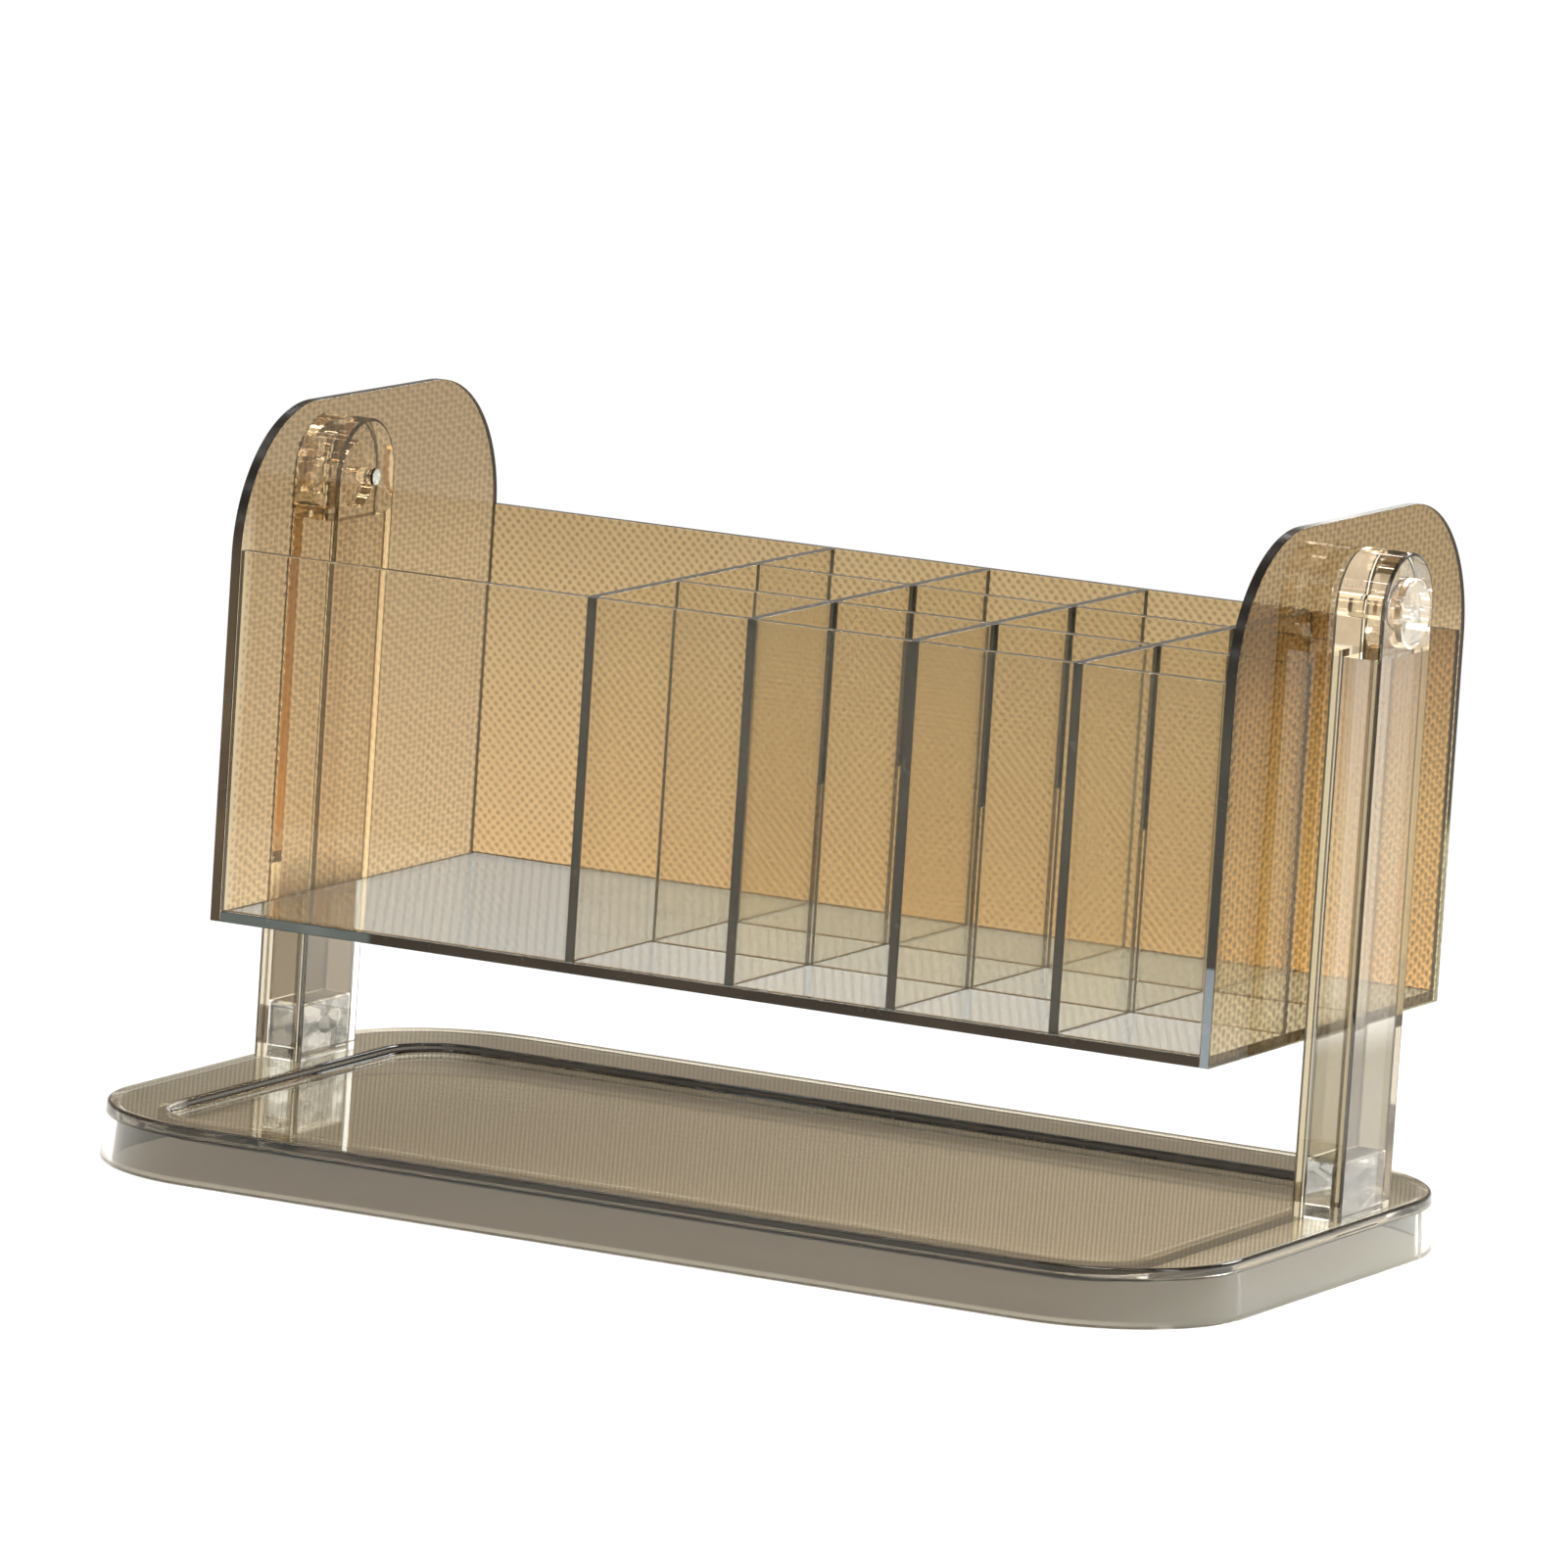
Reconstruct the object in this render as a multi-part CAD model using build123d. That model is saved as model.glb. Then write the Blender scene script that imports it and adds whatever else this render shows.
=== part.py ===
# Rotating makeup organizer: a bin of glued clear sheets that swings between two posts on a low tray.
# Millimetres. X runs along the organizer, Y from its front to its back, Z up.
# The origin is the middle of the tray's footprint, on the surface that the tray stands on.
from build123d import *
import os
from math import hypot

os.makedirs("parts", exist_ok=True)

# Sheets of the bin
sheet = 2.0                  # thickness of every sheet
glue_line = 0.05             # thickness of every glued joint
polished_edge = 0.3          # round on the outer edges of the end panels

# Compartments of the bin
brush_bay_width = 72.0       # clear width of the wide bay on the left
slot_columns = 4             # columns of slots to the right of the wide bay
slot_rows = 3                # slots from front to back
slot_width = 31.0            # clear width of a slot, along X
end_slot_width = 29.0        # clear width of the slots beside the right end panel
slot_depth = 31.0            # clear depth of a slot, along Y
lap_clearance = 0.1          # play on each side of a half-lap joint

# Outside of the bin
wall_height = 70.0           # front and back walls and dividers, from the bin's underside
end_panel_height = 96.0      # end panels, from the bin's underside
end_panel_corner = 27.0      # radius of the end panels' upper corners
pivot_above_underside = 79.4

# Pivots
pin_diameter = 3.0
pin_running_clearance = 0.05  # radial play of the pin in the end panel
pin_fit = 0.02                # radial play of the pin where it is glued
pin_reach = 0.5               # how far the pin shows inside the bin
pin_bearing = 4.9             # solid length of the post around the pin
pin_in_cap = 5.0              # how deep the pin sits in the cap
cap_diameter = 13.0
cap_proud = 1.5               # how far the cap stands out of the post
cap_fit = 0.05                # play around the cap in its seat
cap_edge_round = 0.5

# Posts
side_gap = 0.6               # running gap between an end panel and its post
post_width = 9.9             # along X
post_depth = 22.0            # along Y, and the diameter of the round head
post_wall = 2.0
post_edge_round = 0.4
head_below_cap = 1.5         # solid plastic left below the cap's seat

# Clear plugs that fill the feet of the posts and key them to the tray
plug_height = 11.0           # above the tray's top
plug_seat = 1.1              # how deep a plug sits in the tray's top
plug_seat_fit = 0.05         # play around a plug in the tray
plug_fit = 0.1               # play around a plug inside its post
plug_chamfer = 0.6

# Tray
tray_height = 11.0
tray_front_reach = 36.0      # how far the tray runs out in front of the bin
post_to_tray_edge = 2.3      # from a post's outer face to the tray's foot
tray_draft = 4.0             # lean of the moulded sides, in degrees
tray_corner = 30.0           # radius of the corners at the tray's foot
tray_edge_round = 0.5
tray_foot_round = 0.4
tray_wall = 2.2
tray_plate = 2.2             # thickness of the tray's top
swing_clearance = 17.5       # between the tray's top and the lowest point of the turning bin

# Recess in the tray's top
recess_depth = 1.6
recess_to_post = 3.8         # from the recess to a post's inner face
recess_front_margin = 9.0
recess_back_margin = 19.5
recess_corner = 13.0
recess_edge_round = 0.5

# Worked out from the sizes above
inner_width = (brush_bay_width + sheet + (slot_columns - 1) * (slot_width + sheet) + end_slot_width)
inner_depth = slot_rows * slot_depth + (slot_rows - 1) * sheet
bin_width = inner_width + 2 * sheet
bin_depth = inner_depth + 2 * sheet
swing_radius = hypot(bin_depth / 2, max(pivot_above_underside, end_panel_height - pivot_above_underside))

tray_width = bin_width + 2 * (side_gap + post_width + post_to_tray_edge)
tray_depth = bin_depth + tray_front_reach

pivot_y = (tray_depth - bin_depth) / 2
pivot_z = tray_height + swing_clearance + swing_radius
bin_bottom = pivot_z - pivot_above_underside
floor_top = bin_bottom + sheet
bin_front = pivot_y - bin_depth / 2
post_inner_x = bin_width / 2 + side_gap
post_outer_x = post_inner_x + post_width
post_x = (post_inner_x + post_outer_x) / 2
cap_seat_depth = post_width - pin_bearing


def box_between(low, high):
    """Box from its lowest corner to its highest corner."""
    size = [b - a for a, b in zip(low, high)]
    middle = [(a + b) / 2 for a, b in zip(low, high)]
    return Pos(*middle) * Box(*size)


def rod_along_x(radius, x_from, x_to):
    """Round bar on the pivot axis."""
    place = Pos((x_from + x_to) / 2, pivot_y, pivot_z) * Rot(0, 90, 0)
    return place * Cylinder(radius, x_to - x_from)


def column_x(index):
    """Left face of a divider that runs from front to back. Divider 0 closes the wide bay."""
    return -inner_width / 2 + brush_bay_width + index * (slot_width + sheet)


def row_y(index):
    """Front face of a divider that runs along the bin. The first one is divider 1."""
    return bin_front + index * (slot_depth + sheet)


# Bin
def bin_floor():
    half = inner_width / 2 - glue_line
    return box_between((-half, bin_front, bin_bottom), (half, bin_front + bin_depth, floor_top))


def bin_wall(front_face_y):
    """Front or back wall, standing on the floor between the end panels."""
    half = inner_width / 2 - glue_line
    low = (-half, front_face_y, floor_top + glue_line)
    high = (half, front_face_y + sheet, bin_bottom + wall_height)
    return box_between(low, high)


def right_end_panel():
    """Tall end panel with rounded upper corners and the pivot hole."""
    outline = Pos(pivot_y, bin_bottom + end_panel_height / 2) * Rectangle(bin_depth, end_panel_height)
    outline = fillet(outline.vertices().group_by(Axis.Y)[-1], end_panel_corner)
    inner_plane = Plane.YZ.offset(inner_width / 2)
    panel = extrude(inner_plane * outline, sheet)
    outer_face = panel.faces().sort_by(Axis.X)[-1]
    panel = fillet(outer_face.edges(), polished_edge)
    return panel - rod_along_x(pin_diameter / 2 + pin_running_clearance, inner_width / 2, bin_width / 2)


def column_divider(index):
    """Divider from front to back. All but the wide bay's have open laps in their upper half."""
    low = (column_x(index), bin_front + sheet + glue_line, floor_top + glue_line)
    high = (column_x(index) + sheet, bin_front + bin_depth - sheet - glue_line, bin_bottom + wall_height)
    divider = box_between(low, high)
    if index > 0:
        lap_floor = (low[2] + high[2]) / 2 - lap_clearance / 2
        for row in range(1, slot_rows):
            lap_low = (low[0], row_y(row) - lap_clearance, lap_floor)
            lap_high = (high[0], row_y(row) + sheet + lap_clearance, high[2])
            divider -= box_between(lap_low, lap_high)
    return divider


def row_divider(index):
    """Divider along the bin, with open laps in its lower half."""
    low = (column_x(0) + sheet + glue_line, row_y(index), floor_top + glue_line)
    high = (inner_width / 2 - glue_line, row_y(index) + sheet, bin_bottom + wall_height)
    divider = box_between(low, high)
    lap_roof = (low[2] + high[2]) / 2 + lap_clearance / 2
    for column in range(1, slot_columns):
        lap_low = (column_x(column) - lap_clearance, low[1], low[2])
        lap_high = (column_x(column) + sheet + lap_clearance, high[1], lap_roof)
        divider -= box_between(lap_low, lap_high)
    return divider


# Pivots
def right_pivot_pin():
    """Plain rod from the cap, through the post's head, to just inside the bin."""
    inner_end = inner_width / 2 - pin_reach
    outer_end = post_outer_x - cap_seat_depth + cap_fit + pin_in_cap
    return rod_along_x(pin_diameter / 2, inner_end, outer_end)


def right_pivot_cap():
    """Round cap in the outer face of the post's head, with a blind hole for the pin."""
    seat_x = post_outer_x - cap_seat_depth + cap_fit
    cap = rod_along_x(cap_diameter / 2, seat_x, post_outer_x + cap_proud)
    cap = fillet(cap.faces().sort_by(Axis.X)[-1].edges(), cap_edge_round)
    return cap - rod_along_x(pin_diameter / 2 + pin_fit, seat_x, seat_x + pin_in_cap + pin_fit)


# Stand
def right_post():
    """Hollow leg with a solid round head, open at its foot for the plug."""
    foot_z = tray_height + glue_line
    leg_height = pivot_z - foot_z
    leg = Pos(pivot_y, pivot_z - leg_height / 2) * Rectangle(post_depth, leg_height)
    head = Pos(pivot_y, pivot_z) * Circle(post_depth / 2)
    post = extrude(Plane.YZ.offset(post_inner_x) * (leg + head), post_width)
    free_edges = [edge for edge in post.edges() if edge.center().Z > foot_z + glue_line]
    side_faces = [face for face in post.faces() if abs(face.normal_at().X) > 0.99]
    side_edges = [edge for face in side_faces for edge in face.edges()]
    outline_edges = [edge for edge in free_edges if edge in side_edges]
    post = fillet(outline_edges, post_edge_round)
    cavity_top = pivot_z - cap_diameter / 2 - cap_fit - head_below_cap
    half_depth = post_depth / 2 - post_wall
    cavity_low = (post_inner_x + post_wall, pivot_y - half_depth, foot_z)
    cavity_high = (post_outer_x - post_wall, pivot_y + half_depth, cavity_top)
    post -= box_between(cavity_low, cavity_high)
    post -= rod_along_x(cap_diameter / 2 + cap_fit, post_outer_x - cap_seat_depth, post_outer_x)
    post -= rod_along_x(pin_diameter / 2 + pin_fit, post_inner_x, post_outer_x)
    return post


def plug_block(grow, low_z, high_z):
    """Block with the right plug's outline, grown outward on every side."""
    half_width = post_width / 2 - post_wall - plug_fit + grow
    half_depth = post_depth / 2 - post_wall - plug_fit + grow
    low = (post_x - half_width, pivot_y - half_depth, low_z)
    high = (post_x + half_width, pivot_y + half_depth, high_z)
    return box_between(low, high)


def right_foot_plug():
    """Solid block that stands in the tray's pocket and fills the foot of the post."""
    block = plug_block(0, tray_height - plug_seat + glue_line, tray_height + plug_height)
    return chamfer(block.faces().sort_by(Axis.Z)[-1].edges(), plug_chamfer)


def recess_slab(grow, low_z, high_z):
    """Slab with the recess's outline, grown outward on every side."""
    width = 2 * (post_inner_x - recess_to_post + grow)
    depth = tray_depth - recess_front_margin - recess_back_margin + 2 * grow
    middle_y = (recess_front_margin - recess_back_margin) / 2
    outline = RectangleRounded(width, depth, recess_corner + grow)
    return Pos(0, middle_y, low_z) * extrude(outline, high_z - low_z)


def base_tray():
    """Low shell, open below, with a shallow recess in its top and a pocket for each plug."""
    tray = extrude(RectangleRounded(tray_width, tray_depth, tray_corner), tray_height, taper=tray_draft)
    recess_floor = tray_height - recess_depth
    recess = recess_slab(0, recess_floor, tray_height)
    recess = fillet(recess.faces().sort_by(Axis.Z)[0].edges(), recess_edge_round)
    tray -= recess
    top = tray.faces().sort_by(Axis.Z)[-1]
    tray = fillet(top.inner_wires()[0].edges(), recess_edge_round)
    top = tray.faces().sort_by(Axis.Z)[-1]
    tray = fillet(top.outer_wire().edges(), tray_edge_round)
    tray = fillet(tray.faces().sort_by(Axis.Z)[0].edges(), tray_foot_round)
    outline = RectangleRounded(tray_width - 2 * tray_wall, tray_depth - 2 * tray_wall, tray_corner - tray_wall)
    hollow = extrude(outline, tray_height - tray_plate, taper=tray_draft)
    hollow = fillet(hollow.faces().sort_by(Axis.Z)[-1].edges(), tray_edge_round)
    hollow -= recess_slab(tray_wall, recess_floor - tray_plate, tray_height)
    tray -= hollow
    right_pocket = plug_block(plug_seat_fit, tray_height - plug_seat, tray_height)
    return tray - right_pocket - mirror(right_pocket, Plane.YZ)


def save(shape, node):
    """One named STEP file for one piece."""
    shape.label = node
    export_step(shape, "parts/" + node + ".step")


save(base_tray(), "base_tray")
for piece, node in (
    (right_post(), "post"),
    (right_foot_plug(), "foot_plug"),
    (right_pivot_pin(), "pivot_pin"),
    (right_pivot_cap(), "pivot_cap"),
    (right_end_panel(), "end_panel"),
):
    save(piece, "right_" + node)
    save(mirror(piece, Plane.YZ), "left_" + node)

save(bin_floor(), "bin_floor")
save(bin_wall(bin_front), "bin_front_wall")
save(bin_wall(bin_front + bin_depth - sheet), "bin_back_wall")
save(column_divider(0), "brush_bay_divider")
for column in range(1, slot_columns):
    save(column_divider(column), f"column_divider_{column}")
for row in range(1, slot_rows):
    save(row_divider(row), f"row_divider_{row}")

print("bin", bin_width, "by", bin_depth, "tray", tray_width, "by", tray_depth)
print("pivot at y", pivot_y, "z", round(pivot_z, 3), "bin underside", round(bin_bottom, 3))
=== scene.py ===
import bpy
import math
from mathutils import Matrix, Vector


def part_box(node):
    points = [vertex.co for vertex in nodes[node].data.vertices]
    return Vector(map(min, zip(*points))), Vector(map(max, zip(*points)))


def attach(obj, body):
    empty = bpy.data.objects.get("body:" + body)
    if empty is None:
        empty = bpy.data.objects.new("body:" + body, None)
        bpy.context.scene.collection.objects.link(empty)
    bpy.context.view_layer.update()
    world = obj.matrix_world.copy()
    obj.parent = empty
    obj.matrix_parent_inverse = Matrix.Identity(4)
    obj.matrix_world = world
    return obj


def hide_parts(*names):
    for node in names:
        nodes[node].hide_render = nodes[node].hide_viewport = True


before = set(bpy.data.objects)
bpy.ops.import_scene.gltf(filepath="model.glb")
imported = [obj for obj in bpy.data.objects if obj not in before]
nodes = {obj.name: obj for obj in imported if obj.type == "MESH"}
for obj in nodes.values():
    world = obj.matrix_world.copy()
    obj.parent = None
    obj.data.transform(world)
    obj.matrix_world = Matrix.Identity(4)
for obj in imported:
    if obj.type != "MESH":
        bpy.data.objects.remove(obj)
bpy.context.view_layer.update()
print("frame loaded:", len(nodes), "pieces")


# Camera

camera = {
    "azimuth": 26.3,          # degrees round to the right of the front
    "elevation": 8.72,        # degrees above the horizon
    "roll": 3.75,             # degrees the picture leans
    "aim": (-0.00821, 0.01317, 0.0761),
    "distance": 2.4377,
    "lens": 300.8,            # millimetres
    "sensor": 36,
}


def placeCamera():
    azimuth = math.radians(camera["azimuth"])
    elevation = math.radians(camera["elevation"])
    roll = math.radians(camera["roll"])
    right = Vector((math.cos(azimuth), math.sin(azimuth), 0))
    ahead = Vector((
        -math.sin(azimuth) * math.cos(elevation),
        math.cos(azimuth) * math.cos(elevation),
        -math.sin(elevation),
    ))
    up = right.cross(ahead)
    across = right * math.cos(roll) + up * math.sin(roll)
    over = up * math.cos(roll) - right * math.sin(roll)
    turn = Matrix((across, over, -ahead)).transposed()
    data = bpy.data.cameras.new("camera")
    data.lens = camera["lens"]
    data.sensor_width = camera["sensor"]
    eye = bpy.data.objects.new("camera", data)
    place = Vector(camera["aim"]) - ahead * camera["distance"]
    eye.matrix_world = Matrix.Translation(place) @ turn.to_4x4()
    bpy.context.scene.collection.objects.link(eye)
    bpy.context.scene.camera = eye


placeCamera()
print("camera placed")


# Shader maths: a wrapped socket, so that an expression adds its own nodes

class Signal:
    def __init__(self, tree, socket=None):
        self.tree = tree
        self.socket = socket

    def node(self, kind, settings=None, inputs=None, output=0):
        made = self.tree.nodes.new(kind)
        for name, value in (settings or {}).items():
            if name == "stops":
                fillRamp(made.color_ramp, value)
            else:
                setattr(made, name, value)
        for name, value in (inputs or {}).items():
            if isinstance(value, Signal):
                self.tree.links.new(value.socket, made.inputs[name])
            else:
                made.inputs[name].default_value = value
        return Signal(self.tree, made.outputs[output] if made.outputs else None)

    def math(self, operation, *others):
        return self.node("ShaderNodeMath", {"operation": operation}, dict(enumerate((self, *others))))

    def __add__(self, other):
        return self.math("ADD", other)

    def __mul__(self, other):
        return self.math("MULTIPLY", other)

    def __sub__(self, other):
        return self.math("SUBTRACT", other)

    def __rsub__(self, other):
        return self * -1 + other

    def __truediv__(self, other):
        return self.math("DIVIDE", other)

    __radd__ = __add__
    __rmul__ = __mul__

    def highest(self, other):
        return self.math("MAXIMUM", other)

    def lowest(self, other):
        return self.math("MINIMUM", other)

    def below(self, limit):
        return self.math("LESS_THAN", limit)

    def above(self, limit):
        return self.math("GREATER_THAN", limit)

    def size(self):
        return self.math("ABSOLUTE")

    def wave(self):
        return self.math("SINE")

    def longSide(self, other):                       # the hypotenuse over two short sides
        return (self * self + other * other).math("SQRT")

    def step(self, low, high):
        rise = {"Value": self, "From Min": low, "From Max": high}
        return self.node("ShaderNodeMapRange", {"interpolation_type": "SMOOTHSTEP"}, rise)

    def mixed(self, first, second):
        return self.node("ShaderNodeMix", {"data_type": "RGBA"}, {0: self, 6: first, 7: second}, 2)

    def between(self, pair):                         # from the first of two tints to the second
        return self.mixed(*(paint(tint) for tint in pair))

    def scaledBy(self, share):                       # for a colour or a vector
        return self.node("ShaderNodeVectorMath", {"operation": "SCALE"}, {0: self, "Scale": share})


def fillRamp(ramp, stops):
    while len(ramp.elements) < len(stops):
        ramp.elements.new(1)
    for element, (position, colour) in zip(ramp.elements, stops):
        element.position = position
        element.color = (*colour, 1)


def newMaterial(name):
    material = bpy.data.materials.new(name)
    material.use_nodes = True
    material.node_tree.nodes.clear()
    return material, Signal(material.node_tree)


def paint(colour):
    return (*colour, 1)


# Studio

studio = {
    "background": (1, 1, 1),
    "mirrored": (0.77, 0.71, 0.61),   # the pale floor as it shows in reflections
    "ceiling": (0.25, 0.205, 0.15),   # the dim room above, as polished tops mirror it
    "bounce": (0.85, 0.85, 0.85),
    "ceilingSines": (0.02, 0.2),      # sines of the elevation where the room darkens
    "floorReach": 9.0,
    "shadeRadius": (0.2, 0.42),       # the floor's shading fades out between these distances
    "shadeShare": 0.6,
    "paperBehind": 0.5,               # share of lit paper in the floor seen through the plastics
    "trapped": (2.1, 2.07, 1.93),     # the room after two reflections inside a piece
    "floorColour": (0.92, 0.92, 0.92),
}
lamps = {
    "key": {"place": (0.55, -1.0, 1.3), "size": (0.6, 0.6), "power": 13},
    "fill": {"place": (1.3, -0.2, 0.6), "size": (0.25, 0.9), "power": 6},
    "back": {"place": (0.35, 1.3, 0.9), "size": (0.8, 0.3), "power": 8},
}
strips = {
    "elevations": (24, 48, 72, 100, 132),   # degrees from the front, over the top, to the back
    "aside": -0.43,                         # sine of the turn to the left
    "distance": 1.5,
    "size": (0.7, 0.03),
    "power": 1.0,
}
oneBounce = 0.5               # a depth is a whole number: above this it is one or more
twoBounces = 1.5


def lightPath(start, name):
    return start.node("ShaderNodeLightPath", output=name)


def trappedLight(start):                             # 1 for a path that bounced about inside a piece
    return lightPath(start, "Is Transmission Ray") * lightPath(start, "Glossy Depth").above(twoBounces)


def buildWorld():
    world = bpy.data.worlds.new("room")
    world.use_nodes = True
    world.node_tree.nodes.clear()
    bpy.context.scene.world = world
    start = Signal(world.node_tree)
    heading = start.node("ShaderNodeTexCoord", output="Generated")
    sine = start.node("ShaderNodeSeparateXYZ", inputs={0: heading}, output="Z")
    shade = sine.step(*studio["ceilingSines"]) * lightPath(start, "Is Glossy Ray")
    room = shade.mixed(paint(studio["background"]), paint(studio["ceiling"]))
    room = trappedLight(start).mixed(room, paint(studio["trapped"]))
    bounced = lightPath(start, "Diffuse Depth").above(oneBounce)
    colour = bounced.mixed(room, paint(studio["bounce"]))
    light = start.node("ShaderNodeBackground", inputs={"Color": colour})
    start.node("ShaderNodeOutputWorld", inputs={"Surface": light})


def buildFloor():
    reach = studio["floorReach"]
    mesh = bpy.data.meshes.new("floor")
    corners = [(x * reach, y * reach, 0) for x, y in ((-1, -1), (1, -1), (1, 1), (-1, 1))]
    mesh.from_pydata(corners, [], [(0, 1, 2, 3)])
    floor = bpy.data.objects.new("floor", mesh)
    bpy.context.scene.collection.objects.link(floor)
    material, start = newMaterial("paleFloor")
    place = start.node("ShaderNodeTexCoord", output="Object")
    distance = start.node("ShaderNodeVectorMath", {"operation": "LENGTH"}, {0: place}, "Value")
    away = distance.step(*studio["shadeRadius"])
    direct = 1 - lightPath(start, "Diffuse Depth").above(oneBounce)
    trapped = trappedLight(start)
    through = lightPath(start, "Is Transmission Ray") - trapped
    bare = (1 - (1 - away) * studio["shadeShare"]) * (1 - through * studio["paperBehind"])
    paper = start.node("ShaderNodeBsdfDiffuse", inputs={"Color": paint(studio["floorColour"])})
    mirrored = lightPath(start, "Is Glossy Ray")
    seen = mirrored.mixed(paint(studio["background"]), paint(studio["mirrored"]))
    seen = trapped.mixed(seen, paint(studio["trapped"]))
    glow = start.node("ShaderNodeEmission", inputs={"Color": seen})
    glowing = bare.highest(trapped) * direct
    shown = start.node("ShaderNodeMixShader", inputs={0: glowing, 1: paper, 2: glow})
    start.node("ShaderNodeOutputMaterial", inputs={"Surface": shown})
    mesh.materials.append(material)


def hangLamp(name, place, size, power):
    data = bpy.data.lights.new(name, "AREA")
    data.shape = "RECTANGLE"
    data.size, data.size_y = size
    data.energy = power
    light = bpy.data.objects.new(name, data)
    light.location = place
    light.rotation_euler = (-Vector(place)).to_track_quat("-Z", "Y").to_euler()
    bpy.context.scene.collection.objects.link(light)


def hangStrips():
    for number, elevation in enumerate(strips["elevations"]):
        angle = math.radians(elevation)
        depth = math.sqrt(1 - strips["aside"] ** 2)
        way = Vector((strips["aside"], -depth * math.cos(angle), depth * math.sin(angle)))
        hangLamp(f"strip{number}", way * strips["distance"], strips["size"], strips["power"])


buildWorld()
buildFloor()
for name, lamp in lamps.items():
    hangLamp(name, lamp["place"], lamp["size"], lamp["power"])
hangStrips()
print("studio lit")


# Clear plastics: a tint where light crosses the surface, and a slow darkening along its way inside

clear = {
    "smudgeScale": 90,
    "smudgeDetail": 3,
    "leastRoughness": 0.008,
    "mostRoughness": 0.035,
}


def position(start):
    place = start.node("ShaderNodeTexCoord", output="Object")
    return place, [start.node("ShaderNodeSeparateXYZ", inputs={0: place}, output=axis) for axis in "XYZ"]


def noise(start, place, scale, detail=2):
    return start.node("ShaderNodeTexNoise", inputs={"Vector": place, "Scale": scale, "Detail": detail})


def bump(start, height, depth):
    return start.node("ShaderNodeBump", inputs={"Height": height, "Distance": depth}, output="Normal")


def clearMaterial(name, look, film, depth):
    material, start = newMaterial(name)
    place, axes = position(start)
    smudge = noise(start, place, clear["smudgeScale"], clear["smudgeDetail"])
    spread = clear["mostRoughness"] - clear["leastRoughness"]
    values = {
        "Roughness": smudge * spread + clear["leastRoughness"],
        "IOR": depth["refraction"],
        "Transmission Weight": 1.0,
        **look(start, place, axes),
    }
    body = start.node("ShaderNodeBsdfPrincipled", inputs=values)
    shadowTint = paint([math.sqrt(part) for part in film])
    thin = start.node("ShaderNodeBsdfTransparent", inputs={"Color": shadowTint})
    inShadow = lightPath(start, "Is Shadow Ray")
    surface = start.node("ShaderNodeMixShader", inputs={0: inShadow, 1: body, 2: thin})
    fog = {"Color": paint(depth["colour"]), "Density": depth["density"]}
    inside = start.node("ShaderNodeVolumeAbsorption", inputs=fog)
    start.node("ShaderNodeOutputMaterial", inputs={"Surface": surface, "Volume": inside})
    return material


# Sheets of the bin. The end panels and the back wall are painted lighter low down, painted light standing in
# for the front wall's reflection, and deeper towards their tops

sheetTintsAndLight = {
    "teaLeft": {
        "stops": ((0.0, (0.81, 0.61, 0.37)), (0.35, (0.70, 0.52, 0.31)), (0.66, (0.58, 0.43, 0.25)),
                  (0.80, (0.48, 0.35, 0.20)), (1.0, (0.45, 0.33, 0.19))),
        "grain": 0.50,
    },
    "teaRight": {
        "stops": ((0.0, (0.98, 0.81, 0.51)), (0.35, (0.99, 0.83, 0.50)), (0.66, (0.78, 0.59, 0.34)),
                  (0.80, (0.44, 0.31, 0.15)), (1.0, (0.42, 0.29, 0.14))),
        "grain": 0.60,
    },
    "teaWall": {
        "stops": ((0.0, (0.82, 0.56, 0.29)), (0.45, (0.66, 0.48, 0.26)), (0.72, (0.52, 0.38, 0.20))),
        "grain": 0.42,
    },
    "paleSheet": {"stops": ((0.0, (0.92, 0.90, 0.83)), (1.0, (0.93, 0.91, 0.85))), "grain": 0.04},
    "floorSheet": {"stops": ((0.0, (0.76, 0.82, 0.87)), (1.0, (0.76, 0.82, 0.87))), "grain": 0.12},
}
sheetDepth = {"refraction": 1.32, "colour": (0.50, 0.46, 0.38), "density": 20}
grain = {
    "alongX": 0.0020,         # metres from one pit to the next in its own row
    "alongY": 0.0039,
    "up": 0.0021,
    "wander": 2.4,            # how far the rows stray, in radians
    "rowStray": 380,          # scales of the noises that the rows and the columns stray by
    "columnStray": 270,
    "bite": (0.0, 0.7),
    "depth": 0.000006,
}
margin = {                    # the smooth strip beside the left panel's front edge
    "width": (0.0047, 0.0056),
    "tint": (0.76, 0.66, 0.48),
    "top": (0.60, 0.92),      # shares of the panel's height between which it fades out
}


def pebbled(start, place, axes):
    x, y, z = axes
    rows = (x / grain["alongX"] + y / grain["alongY"]) * (2 * math.pi)
    rows = rows + noise(start, place, grain["rowStray"]) * grain["wander"]
    columns = z * (2 * math.pi / grain["up"])
    columns = columns + noise(start, place, grain["columnStray"]) * grain["wander"]
    return (rows.wave() * columns.wave()).step(*grain["bite"])


def sheetMaterial(name):
    tint = sheetTintsAndLight[name]
    low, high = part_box("left_end_panel")

    def look(start, place, axes):
        x, y, z = axes
        rise = (z - low.z) / (high.z - low.z)
        # the ramp paints the end panels and the back wall lighter low down: painted light
        colour = start.node("ShaderNodeValToRGB", {"stops": tint["stops"]}, {"Fac": rise})
        pits = pebbled(start, place, axes)
        if name == "teaLeft":
            strip = (1 - (y - low.y).step(*margin["width"])) * (1 - rise.step(*margin["top"]))
            colour = strip.mixed(colour, paint(margin["tint"]))
            pits = pits * (1 - strip)
        return {
            "Base Color": colour.scaledBy(1 - pits * tint["grain"]),
            "Normal": bump(start, pits, grain["depth"] * tint["grain"]),
        }

    return clearMaterial(name, look, tint["stops"][1][1], sheetDepth)


# Sawn and polished edges of the sheets, too dark to see through: partly the tinted sheet seen along its
# length, partly painted shade, with bands of painted light

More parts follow.
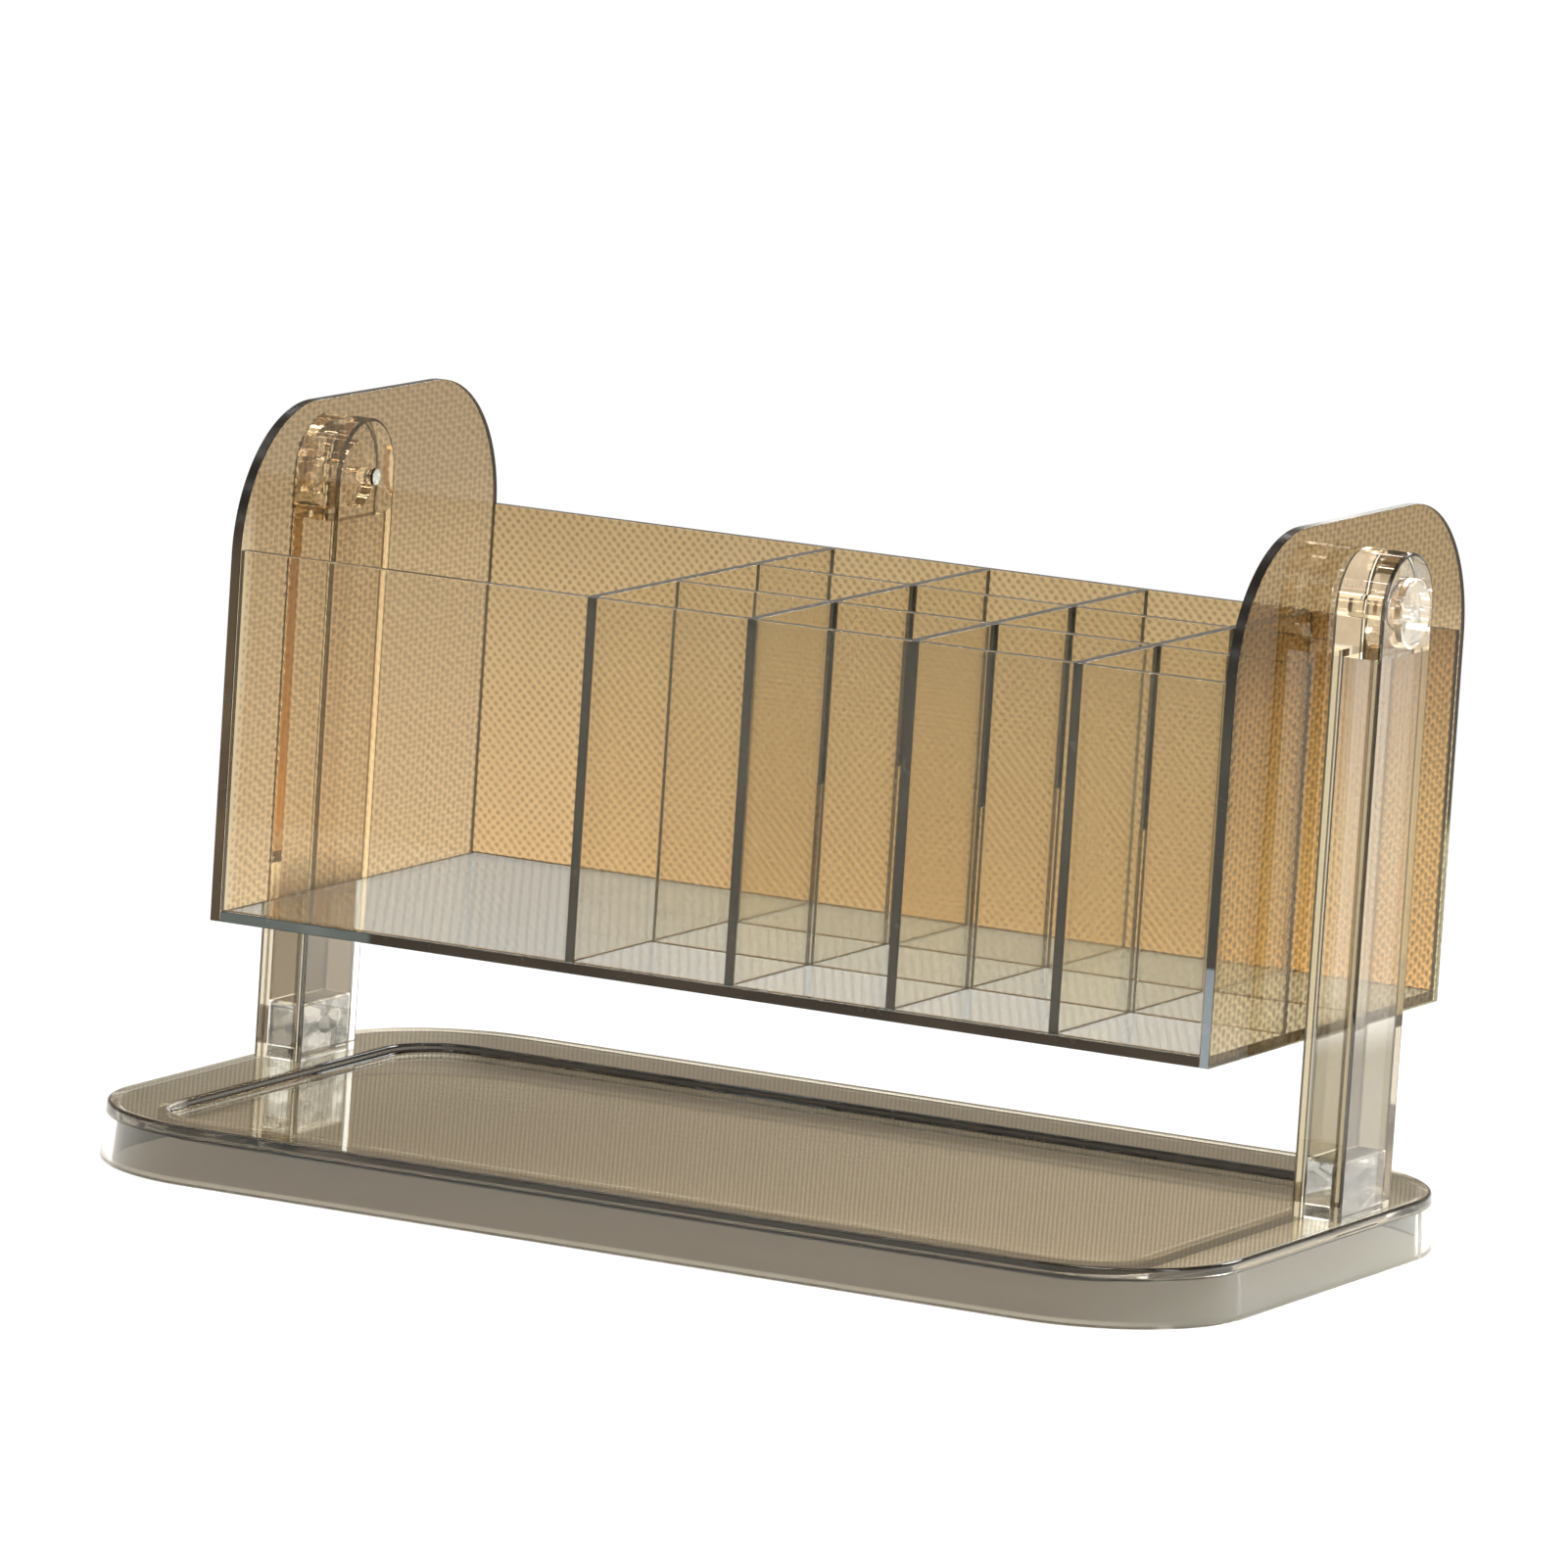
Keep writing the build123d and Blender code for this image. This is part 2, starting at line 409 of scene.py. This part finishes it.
edge = {
    "arcShade": (0.009, 0.007, 0.005),
    "leftPanel": (0.072, 0.049, 0.026),
    "rightPanel": (0.036, 0.034, 0.026),
    "panelTopHighlight": (0.60, 0.60, 0.56),
    "divider": (0.036, 0.034, 0.027),
    "floorFront": (0.030, 0.021, 0.012),
    "floorLeft": (0.100, 0.112, 0.102),
    "paintedFootLight": (0.175, 0.20, 0.21),
    "paintedRearLight": (0.46, 0.50, 0.48),
    "arcShares": (0.62, 0.84),        # shares of a panel's height between which its edge turns black: painted shade up the arcs
    "footHeight": (0.01776, 0.0185),  # heights between which the painted light at the front feet of the edges ends
    # heights between which the painted light at the rear feet of the edges ends
    "rearHeight": (0.0288, 0.036),
    "leftLength": (0.031, 0.03255),   # where the paler left part of the floor's front edge ends
    "topBand": 0.0008,                # height of the painted highlight along the right panel's top
    "topFrom": (-0.012, 0.004),       # where along the panel the painted highlight sets in
    "streaks": 0.35,
    "streakScale": 38,
    "streakDetail": 3,
    "streakBand": (0.40, 0.62),
    "polishScale": 300,
    "roughness": (0.14, 0.34),
    "refraction": 1.49,
    "gloss": 0.3,
}


def edgeMaterial():
    material, start = newMaterial("sawnEdgeLightAndShade")
    place, axes = position(start)
    x, y, z = axes
    low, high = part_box("right_end_panel")
    floorLow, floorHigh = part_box("bin_floor")
    rise = (z - low.z) / (high.z - low.z)
    right = x.above(0)
    straight = right.mixed(paint(edge["leftPanel"]), paint(edge["rightPanel"]))
    # painted shade: the edges turn black up the arcs
    body = rise.step(*edge["arcShares"]).mixed(straight, paint(edge["arcShade"]))
    # painted highlight along the right panel's top edge
    onTop = z.above(high.z - edge["topBand"]) * y.step(*edge["topFrom"]) * right
    body = onTop.mixed(body, paint(edge["panelTopHighlight"]))
    inner = x.size().below(low.x)
    body = inner.mixed(body, paint(edge["divider"]))
    left = 1 - (x - floorLow.x).step(*edge["leftLength"])
    atFloor = left.mixed(paint(edge["floorFront"]), paint(edge["floorLeft"]))
    body = (z.below(floorHigh.z) * inner).mixed(body, atFloor)
    # painted light at the front and rear feet of the edges
    front = (1 - (z - low.z).step(*edge["footHeight"])) * y.below(0)
    rear = (1 - (z - low.z).step(*edge["rearHeight"])) * y.above(0)
    body = (front * x.above(low.x)).mixed(body, paint(edge["paintedFootLight"]))
    body = (rear * x.above(low.x)).mixed(body, paint(edge["paintedRearLight"]))
    streak = noise(start, place, edge["streakScale"], edge["streakDetail"]).step(*edge["streakBand"])
    polish = noise(start, place, edge["polishScale"])
    least, most = edge["roughness"]
    values = {
        "Base Color": body.scaledBy(1 + (streak - 0.5) * edge["streaks"]),
        "Roughness": polish * (most - least) + least,
        "IOR": edge["refraction"],
        "Specular IOR Level": edge["gloss"],
    }
    solid = start.node("ShaderNodeBsdfPrincipled", inputs=values)
    start.node("ShaderNodeOutputMaterial", inputs={"Surface": solid})
    return material


# Posts, foot plugs, pins and caps

# The wall, head, cavity and edge tints are painted shade, set apart for the left and the right post
post = {
    "outer": (1.0, 0.995, 0.98),
    "leftWallShade": ((0.19, 0.155, 0.105), (0.36, 0.31, 0.215)),       # painted shade on the left wall, on the left post, on the right post
    "rightWallShade": (0.24, 0.20, 0.135),
    "rearWallShade": (0.20, 0.16, 0.11),
    "head": (0.60, 0.48, 0.33),
    "cavityLowShade": ((0.37, 0.29, 0.18), (0.72, 0.65, 0.48)),         # painted shade low in the cavity, on the left post, on the right post
    "cavityHigh": (1.0, 0.99, 0.96),
    "cavitySideShade": ((0.135, 0.103, 0.055), (0.16, 0.135, 0.085)),   # painted shade on the cavity's walls that face sideways, on the left post, on the right post
    "fade": (0.040, 0.052),                                        # heights where the cavity's painted shade clears
    # painted shade: dark lines down the post's corners
    "edge": (0.022, 0.020, 0.016),
    "pinEndShade": (0.14, 0.145, 0.14),                                 # painted shade where a pin stands out of its post, dimming its glint
    "facetLightAndShade": ((0.24, 0.25, 0.24), (0.86, 0.86, 0.84)),            # painted shade and painted glints in the plugs, the darkest and the palest
    "facetScale": (190, 190, 420),
    "facetBand": (0.1, 0.75),
    "cloudScale": 600,
    "cloudBand": (0.35, 0.65),
    "wall": 0.002,
    "rearFrom": 0.0072,           # from the post's middle
    "edgeWidth": 0.0006,
    "skin": 0.0003,
    "headWall": 0.0013,
    "depth": {"refraction": 1.49, "colour": (0.62, 0.60, 0.54), "density": 7},
}


def postMaterial():
    low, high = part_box("right_post")
    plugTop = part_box("right_foot_plug")[1].z
    pinLow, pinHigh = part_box("right_pivot_pin")
    pivot = (pinLow + pinHigh) / 2
    middle = (low + high) / 2
    half = (high - low) / 2
    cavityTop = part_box("right_pivot_cap")[0].z - post["headWall"]

    def look(start, place, axes):
        x, y, z = axes
        right = x.above(0)
        fromMiddle = x - right * (2 * middle.x) + middle.x
        across = fromMiddle.size()
        along = (y - middle.y).size()
        out = along.longSide((z - pivot.z).highest(0))
        clearing = z.step(*post["fade"])
        hollow = z.below(cavityTop) * right.highest(1 - clearing)
        frontOrBack = along.above(half.y - post["skin"]) * hollow
        leftWallShade = fromMiddle.below(post["wall"] - half.x) * frontOrBack
        rightWallShade = fromMiddle.above(half.x - post["wall"]) * frontOrBack
        atRight = fromMiddle.above(half.x - post["skin"]) * right
        rearWallShade = (y - middle.y).above(post["rearFrom"]) * atRight * hollow
        head = z.above(cavityTop) * out.above(half.y - post["skin"]) * right
        cavity = across.below(half.x - post["wall"] / 2) * along.below(half.y - post["wall"] / 2)
        cavity = cavity * z.above(plugTop) * z.below(cavityTop)
        corner = across.above(half.x - post["edgeWidth"]) * out.above(half.y - post["edgeWidth"])
        # painted shade on the walls, the head, low in the cavity and down the corners
        leftShade = right.between(post["leftWallShade"])
        sideways = across.above(half.x - post["wall"] - post["skin"])
        frontBackShade = right.between(post["cavityLowShade"])
        sideWallShade = right.between(post["cavitySideShade"])
        cavityShade = sideways.mixed(frontBackShade, sideWallShade)
        body = leftWallShade.mixed(paint(post["outer"]), leftShade)
        body = rightWallShade.mixed(body, paint(post["rightWallShade"]))
        body = rearWallShade.mixed(body, paint(post["rearWallShade"]))
        body = head.mixed(body, paint(post["head"]))
        body = cavity.mixed(body, clearing.mixed(cavityShade, paint(post["cavityHigh"])))
        return {"Base Color": corner.mixed(body, paint(post["edge"]))}

    return clearMaterial("clearPost", look, post["outer"], post["depth"])


def pivotMaterial():
    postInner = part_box("right_post")[0].x
    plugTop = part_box("right_foot_plug")[1].z + post["skin"]

    def look(start, place, axes):
        x, _, z = axes
        cloud = noise(start, place, post["cloudScale"]).step(*post["cloudBand"])
        body = cloud.mixed(paint(post["outer"]), paint(post["cavityHigh"]))
        scale = {0: place, 1: post["facetScale"]}
        stretched = start.node("ShaderNodeVectorMath", {"operation": "MULTIPLY"}, scale)
        cell = start.node("ShaderNodeTexVoronoi", inputs={"Vector": stretched, "Scale": 1}, output="Color")
        shade = start.node("ShaderNodeSeparateXYZ", inputs={0: cell}, output="X")
        # painted facets of shade and glints in the foot plugs
        paintedFacet = shade.step(*post["facetBand"]).between(post["facetLightAndShade"])
        body = z.below(plugTop).mixed(body, paintedFacet)
        # painted shade on the pins' ends
        return {"Base Color": x.size().below(postInner).mixed(body, paint(post["pinEndShade"]))}

    return clearMaterial("clearPivot", look, post["outer"], post["depth"])


# Tray

tray = {
    "film": (0.5, 0.45, 0.37),    # tint of its shadow, before the root that clearMaterial takes
    "outer": (0.95, 0.94, 0.91),
    "top": (0.84, 0.755, 0.60),
    "plateUnder": (0.22, 0.145, 0.06),
    "plateSideLightAndShade": ((0.05, 0.043, 0.034), (0.70, 0.69, 0.64)),     # painted shade along the front, painted highlight at the ends
    "recessUnderTintAndShade": ((0.20, 0.165, 0.11), (0.66, 0.54, 0.38)),    # the smoke's tint with painted shade at the left and painted light at the right
    # painted shade and light up the inside of the sides: dark at the foot, a painted light line, darker above
    "sideInsideLightAndShade": ((0.0, (0.02, 0.018, 0.014)), (0.020, (0.02, 0.018, 0.014)), (0.035, (0.30, 0.29, 0.255)),
                   (0.095, (0.28, 0.27, 0.235)), (0.13, (0.060, 0.052, 0.038)), (1.0, (0.040, 0.034, 0.025))),
    # painted shade inside the ends, lighter towards the back, with a painted highlight at the back
    "endInsideLightAndShade": ((0.0, (0.07, 0.072, 0.060)), (0.5, (0.13, 0.137, 0.118)), (0.88, (0.25, 0.265, 0.24)),
                  (0.93, (0.95, 0.95, 0.93))),
    # painted shade: a black line along the rim's round
    "rimRoundShade": (0.02, 0.018, 0.015),
    # painted shade on the recess's step, and a painted highlight on its near side
    "stepRoundShade": (0.001, 0.001, 0.001),
    "stepWallShade": (0.24, 0.23, 0.21),
    "stepHighlight": (0.90, 0.88, 0.82),
    "corner": 0.030,
    "draft": 4,                   # lean of the sides, in degrees
    "wall": 0.0022,
    "plateBottom": 0.0087,        # faces below this height are on the tray's inside
    "recessDepth": 0.0016,
    "recessToPost": 0.0038,
    "recessFront": 0.009,
    "recessBack": 0.0195,
    "recessCorner": 0.013,
    "stepBand": 0.00065,
    "stepRounds": 0.00055,
    # where the painted highlight line on the recess floor lies, inward from the step
    "lineFrom": (0.0009, 0.0022),
    "rim": 0.0008,
    # width of the painted shade line along the rim's top
    "rimLine": 0.00055,
    "skin": 0.0003,
    "sideShare": 1.15,            # shares of the wall and the corner at which the sides and ends begin
    "cornerShare": 0.8,
    "endLean": 0.25,              # how the ends' shading leans with height
    "endStart": 0.1,
    "farFade": 0.006,             # where the step's near side, painted highlight, changes into its far side, painted shade
    "depth": {"refraction": 1.49, "colour": (0.50, 0.47, 0.42), "density": 14},
}
weave = {
    "turn": 26,                   # degrees from the tray's own length
    "spread": 2.44,               # metres to where the threads would meet
    "fine": 0.00084,              # metres from one thread to the next
    "coarse": 0.0048,
    "wander": 2.0,                # how far the threads stray, in radians
    "strayScale": 120,
    "warpShare": 0.7,
    "threadBand": (-0.8, 0.8),
    "share": 0.34,
    "depth": 0.0000010,
}


def outsideRounded(x, y, half, corner):
    overX = x.size() - (half.x - corner)
    overY = y.size() - (half.y - corner)
    far = overX.highest(0).longSide(overY.highest(0))
    return far + overX.highest(overY).lowest(0) - corner


def trayMaterial():
    low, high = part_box("base_tray")
    half = (high - low) / 2
    recessHalf = Vector((
        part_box("right_post")[0].x - tray["recessToPost"],
        half.y - (tray["recessFront"] + tray["recessBack"]) / 2,
    ))
    recessY = (tray["recessFront"] - tray["recessBack"]) / 2
    recessFloor = high.z - tray["recessDepth"]
    turn = math.radians(weave["turn"])

    def ramp(start, stops, place):
        return start.node("ShaderNodeValToRGB", {"stops": stops}, {"Fac": place})

    def look(start, place, axes):
        x, y, z = axes
        rim = outsideRounded(x, y, half, tray["corner"]) + z * math.tan(math.radians(tray["draft"]))
        recess = outsideRounded(x, y - recessY, recessHalf, tray["recessCorner"])
        inside = rim.below(-tray["wall"] / 2) * z.below(tray["plateBottom"])
        atSide = rim.above(-tray["wall"] * tray["sideShare"])
        toEnd = x.size().step(high.x - tray["corner"] * tray["cornerShare"], high.x - tray["wall"])
        rise = z / tray["plateBottom"]
        back = (y - low.y) / (high.y - low.y) - rise * tray["endLean"] + tray["endStart"]
        # painted light and shade inside the sides and the ends
        end = ramp(start, tray["endInsideLightAndShade"], back)
        side = toEnd.mixed(ramp(start, tray["sideInsideLightAndShade"], rise), end)
        # the smoke's tint, painted darker to the left and lighter to the right
        recessUnderTintAndShade = x.step(low.x, high.x).between(tray["recessUnderTintAndShade"])
        under = recess.below(0).mixed(paint(tray["plateUnder"]), recessUnderTintAndShade)
        outer = z.above(tray["plateBottom"]).mixed(paint(tray["outer"]), paint(tray["top"]))
        body = inside.mixed(outer, atSide.mixed(under, side))
        # painted shade along the plate's front side, painted highlight at its ends
        plateSideLightAndShade = toEnd.between(tray["plateSideLightAndShade"])
        body = (rim.above(-tray["skin"]) * z.above(tray["plateBottom"])).mixed(body, plateSideLightAndShade)
        # painted shade along the rim's round
        rimRoundShade = rim.above(-tray["rimLine"]) * z.above(high.z - tray["rimLine"])
        body = rimRoundShade.mixed(body, paint(tray["rimRoundShade"]))
        along = y * math.cos(turn) - x * math.sin(turn)
        across = (x * math.cos(turn) + y * math.sin(turn)) / (along / weave["spread"] + 1)
        far = along.step(0, tray["farFade"])        # the part of the recess's step that faces forward
        onTop = z.above(recessFloor - tray["skin"])
        # painted shade on the step's far sides, painted highlight on its near sides, and a painted highlight
        # line inside
        step = recess.size().below(tray["stepBand"]) * onTop
        level = z.above(recessFloor + tray["stepRounds"]) * z.below(high.z - tray["stepRounds"])
        stepShade = level.mixed(paint(tray["stepRoundShade"]), paint(tray["stepWallShade"]))
        body = step.mixed(body, far.mixed(paint(tray["stepHighlight"]), stepShade))
        near, reach = tray["lineFrom"]
        highlightLine = recess.below(-near) * recess.above(-reach) * onTop * far
        stray = noise(start, place, weave["strayScale"]) * weave["wander"]
        warp = (across * (2 * math.pi / weave["fine"]) + stray).wave()
        weft = (along * (2 * math.pi / weave["coarse"]) + stray).wave()
        within = rim.below(-tray["rim"]) * z.above(tray["plateBottom"])
        onPlate = within.highest(rim.below(-tray["wall"] * tray["sideShare"])) * (1 - highlightLine)
        crossed = warp * weave["warpShare"] + weft * (1 - weave["warpShare"])
        threads = crossed.step(*weave["threadBand"]) * onPlate
        return {
            "Base Color": body.scaledBy(1 - threads * weave["share"]),
            "Normal": bump(start, threads * z.above(tray["plateBottom"]), weave["depth"]),
        }

    return clearMaterial("smokeTray", look, tray["film"], tray["depth"])


finishes = {
    "teaLeft": ("left_end_panel",),
    "teaRight": ("right_end_panel",),
    "teaWall": ("bin_back_wall",),
    "paleSheet": ("bin_front_wall", "brush_bay_divider", "column_divider_1", "column_divider_2",
                  "column_divider_3", "row_divider_1", "row_divider_2"),
    "floorSheet": ("bin_floor",),
    "clearPost": ("left_post", "right_post"),
    "clearPivot": ("left_pivot_pin", "right_pivot_pin", "left_pivot_cap", "right_pivot_cap",
                   "left_foot_plug", "right_foot_plug"),
    "smokeTray": ("base_tray",),
}
materials = {name: sheetMaterial(name) for name in sheetTintsAndLight}
materials["clearPost"] = postMaterial()
materials["clearPivot"] = pivotMaterial()
materials["smokeTray"] = trayMaterial()
sawnEdgeLightAndShade = edgeMaterial()
for name, members in finishes.items():
    for member in members:
        nodes[member].material_slots[0].material = materials[name]
print("plastics applied")


# Sheets cut to shape, with polished arrises

sheetCut = {
    "arris": 0.00015,         # width of the polished edge
    "arrisSteps": 2,
    "lapPlay": 0.0001,
    "flatness": 0.3,          # faces turned further than this from the sheet's plane are its edges
    "panelCorner": 0.027,
    "cornerSteps": 40,
    "boreDiameter": 0.0031,
    "boreSides": 48,
    "boreCutter": 0.01,       # length of the rod that cuts the bore
    "boreClear": 2,           # faces within this many radii of the bore stay clear
    "lapCutter": 2,           # how many times its sheet's thickness a lap's cutter spans
}
rows = ("row_divider_1", "row_divider_2")
columns = ("column_divider_1", "column_divider_2", "column_divider_3")
laps = {**{name: rows for name in columns}, **{name: columns for name in rows}}


def newTree(name, sockets):
    tree = bpy.data.node_groups.new(name, "GeometryNodeTree")
    tree.interface.new_socket("Geometry", in_out="INPUT", socket_type="NodeSocketGeometry")
    for socket, kind in sockets:
        tree.interface.new_socket(socket, in_out="INPUT", socket_type="NodeSocket" + kind)
    tree.interface.new_socket("Geometry", in_out="OUTPUT", socket_type="NodeSocketGeometry")
    start = Signal(tree)
    names = ["Geometry"] + [socket for socket, _ in sockets]
    return tree, start, {socket: start.node("NodeGroupInput", output=socket) for socket in names}


def cutTree():
    sockets = (
        ("Lap Count", "Int"), ("First Lap", "Vector"), ("Lap Step", "Vector"), ("Lap Size", "Vector"),
        ("Bore Count", "Int"), ("Bore Place", "Vector"), ("Bore Radius", "Float"),
        ("Plastic", "Material"),
    )
    tree, start, given = newTree("cutSheet", sockets)
    row = {"Count": given["Lap Count"], "Start Location": given["First Lap"], "Offset": given["Lap Step"]}
    spots = start.node("GeometryNodeMeshLine", inputs=row)
    lap = start.node("GeometryNodeMeshCube", inputs={"Size": given["Lap Size"]})
    lapCutters = start.node("GeometryNodeInstanceOnPoints", inputs={"Points": spots, "Instance": lap})
    place = {"Count": given["Bore Count"], "Start Location": given["Bore Place"]}
    boreSpot = start.node("GeometryNodeMeshLine", inputs=place)
    drill = {
        "Vertices": sheetCut["boreSides"],
        "Radius": given["Bore Radius"],
        "Depth": sheetCut["boreCutter"],
    }
    rod = start.node("GeometryNodeMeshCylinder", inputs=drill)
    turned = {"Points": boreSpot, "Instance": rod, "Rotation": (0, math.pi / 2, 0)}
    boreCutter = start.node("GeometryNodeInstanceOnPoints", inputs=turned)
    whole = given["Geometry"]
    for cutters in (lapCutters, boreCutter):
        solid = start.node("GeometryNodeRealizeInstances", inputs={"Geometry": cutters})
        parts = {"Mesh 1": whole, "Mesh 2": solid}
        whole = start.node("GeometryNodeMeshBoolean", {"operation": "DIFFERENCE"}, parts)
    whole = start.node("GeometryNodeRealizeInstances", inputs={"Geometry": whole})
    smooth = start.node("GeometryNodeSetShadeSmooth", inputs={"Geometry": whole})
    finish = {"Geometry": smooth, "Material": given["Plastic"]}
    dressed = start.node("GeometryNodeSetMaterial", inputs=finish)
    start.node("NodeGroupOutput", inputs={"Geometry": dressed})
    return tree


def edgeTree():
    sockets = (
        ("Thin Axis", "Vector"), ("Flatness", "Float"),
        ("Bore Place", "Vector"), ("Bore Radius", "Float"), ("Edge", "Material"),
    )
    tree, start, given = newTree("edgeFinishAndShade", sockets)
    normal = start.node("GeometryNodeInputNormal")
    facing = {0: normal, 1: given["Thin Axis"]}
    turned = start.node("ShaderNodeVectorMath", {"operation": "DOT_PRODUCT"}, facing, "Value").size()
    fromBore = {0: start.node("GeometryNodeInputPosition"), 1: given["Bore Place"]}
    clearOfBore = start.node("ShaderNodeVectorMath", {"operation": "DISTANCE"}, fromBore, "Value")
    sawn = turned.below(given["Flatness"]) * clearOfBore.above(given["Bore Radius"] * sheetCut["boreClear"])
    whole = start.node("GeometryNodeRealizeInstances", inputs={"Geometry": given["Geometry"]})
    finish = {"Geometry": whole, "Selection": sawn, "Material": given["Edge"]}
    dressed = start.node("GeometryNodeSetMaterial", inputs=finish)
    start.node("NodeGroupOutput", inputs={"Geometry": dressed})
    return tree


def runTree(piece, tree, wanted):
    run = piece.modifiers.new(tree.name, "NODES")
    run.node_group = tree
    for item in tree.interface.items_tree:
        if item.in_out == "INPUT" and item.name in wanted:
            run[item.identifier] = wanted[item.name]


def panelOutline(low, high):
    corner = sheetCut["panelCorner"]
    steps = sheetCut["cornerSteps"]
    points = [(low.y, low.z), (high.y, low.z)]
    for middleY, first in ((high.y - corner, 0), (low.y + corner, 90)):
        for step in range(steps + 1):
            angle = math.radians(first + 90 * step / steps)
            points.append((middleY + corner * math.cos(angle), high.z - corner + corner * math.sin(angle)))
    return points


def plainOutline(low, high):
    return [(low.y, low.z), (high.y, low.z), (high.y, high.z), (low.y, high.z)]


def board(name, low, high, outline):
    count = len(outline)
    points = [(x, y, z) for x in (low.x, high.x) for y, z in outline]
    sides = [(step, (step + 1) % count, (step + 1) % count + count, step + count) for step in range(count)]
    caps = [tuple(range(count))[::-1], tuple(range(count, 2 * count))]
    mesh = bpy.data.meshes.new(name)
    mesh.from_pydata(points, [], sides + caps)
    return mesh


def lapsOf(name, low, high):
    others = [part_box(other) for other in laps[name]]
    play = sheetCut["lapPlay"]
    along = 1 if name in columns else 0
    centres = [(otherLow + otherHigh) / 2 for otherLow, otherHigh in others]
    height = high.z - low.z
    size = Vector((0, 0, height))
    size[along] = others[0][1][along] - others[0][0][along] + 2 * play
    size[1 - along] = (high[1 - along] - low[1 - along]) * sheetCut["lapCutter"]
    first = (low + high) / 2
    first[along] = centres[0][along]
    first.z += (height - play) / 2 * (1 if name in columns else -1)
    step = Vector((0, 0, 0))
    step[along] = centres[1][along] - centres[0][along]
    return {"Lap Count": len(others), "First Lap": first, "Lap Step": step, "Lap Size": size}


def cutSheet(name, plastic):
    low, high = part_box(name)
    size = high - low
    thin = min(range(3), key=lambda axis: size[axis])
    isPanel = name.endswith("end_panel")
    outline = panelOutline(low, high) if isPanel else plainOutline(low, high)
    piece = bpy.data.objects.new(name + "_sheet", board(name + "_sheet", low, high, outline))
    piece.data.materials.append(plastic)
    bpy.context.scene.collection.objects.link(piece)
    wanted = {"Plastic": plastic}
    bore = {}
    if name in laps:
        wanted.update(lapsOf(name, low, high))
    if isPanel:
        pinLow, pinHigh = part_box("right_pivot_pin")
        place = (pinLow + pinHigh) / 2
        place.x = (low.x + high.x) / 2
        bore = {"Bore Place": place, "Bore Radius": sheetCut["boreDiameter"] / 2}
        wanted.update({"Bore Count": 1, **bore})
    runTree(piece, cutting, wanted)
    arris = piece.modifiers.new("arris", "BEVEL")
    arris.width = sheetCut["arris"]
    arris.segments = sheetCut["arrisSteps"]
    arris.limit_method = "ANGLE"
    arris.harden_normals = True
    axis = Vector([float(number == thin) for number in range(3)])
    sawn = {"Thin Axis": axis, "Flatness": sheetCut["flatness"], "Edge": sawnEdgeLightAndShade, **bore}
    runTree(piece, finishing, sawn)
    bpy.context.view_layer.update()
    whole = piece.evaluated_get(bpy.context.evaluated_depsgraph_get())
    mesh = bpy.data.meshes.new_from_object(whole)
    piece.modifiers.clear()
    piece.data = mesh
    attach(piece, "bin")
    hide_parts(name)
    return piece


cutting = cutTree()
finishing = edgeTree()
for finish in sheetTintsAndLight:
    for member in finishes[finish]:
        sheet = cutSheet(member, materials[finish])
        slots = [slot.name for slot in sheet.data.materials]
        print(sheet.name, len(sheet.data.polygons), "faces", slots)
print("sheets cut")

bounces = {
    "max_bounces": 40,
    "transmission_bounces": 40,
    "transparent_max_bounces": 40,
    "glossy_bounces": 24,
}
for kind, count in bounces.items():
    setattr(bpy.context.scene.cycles, kind, count)
bpy.context.scene.view_settings.view_transform = "Standard"
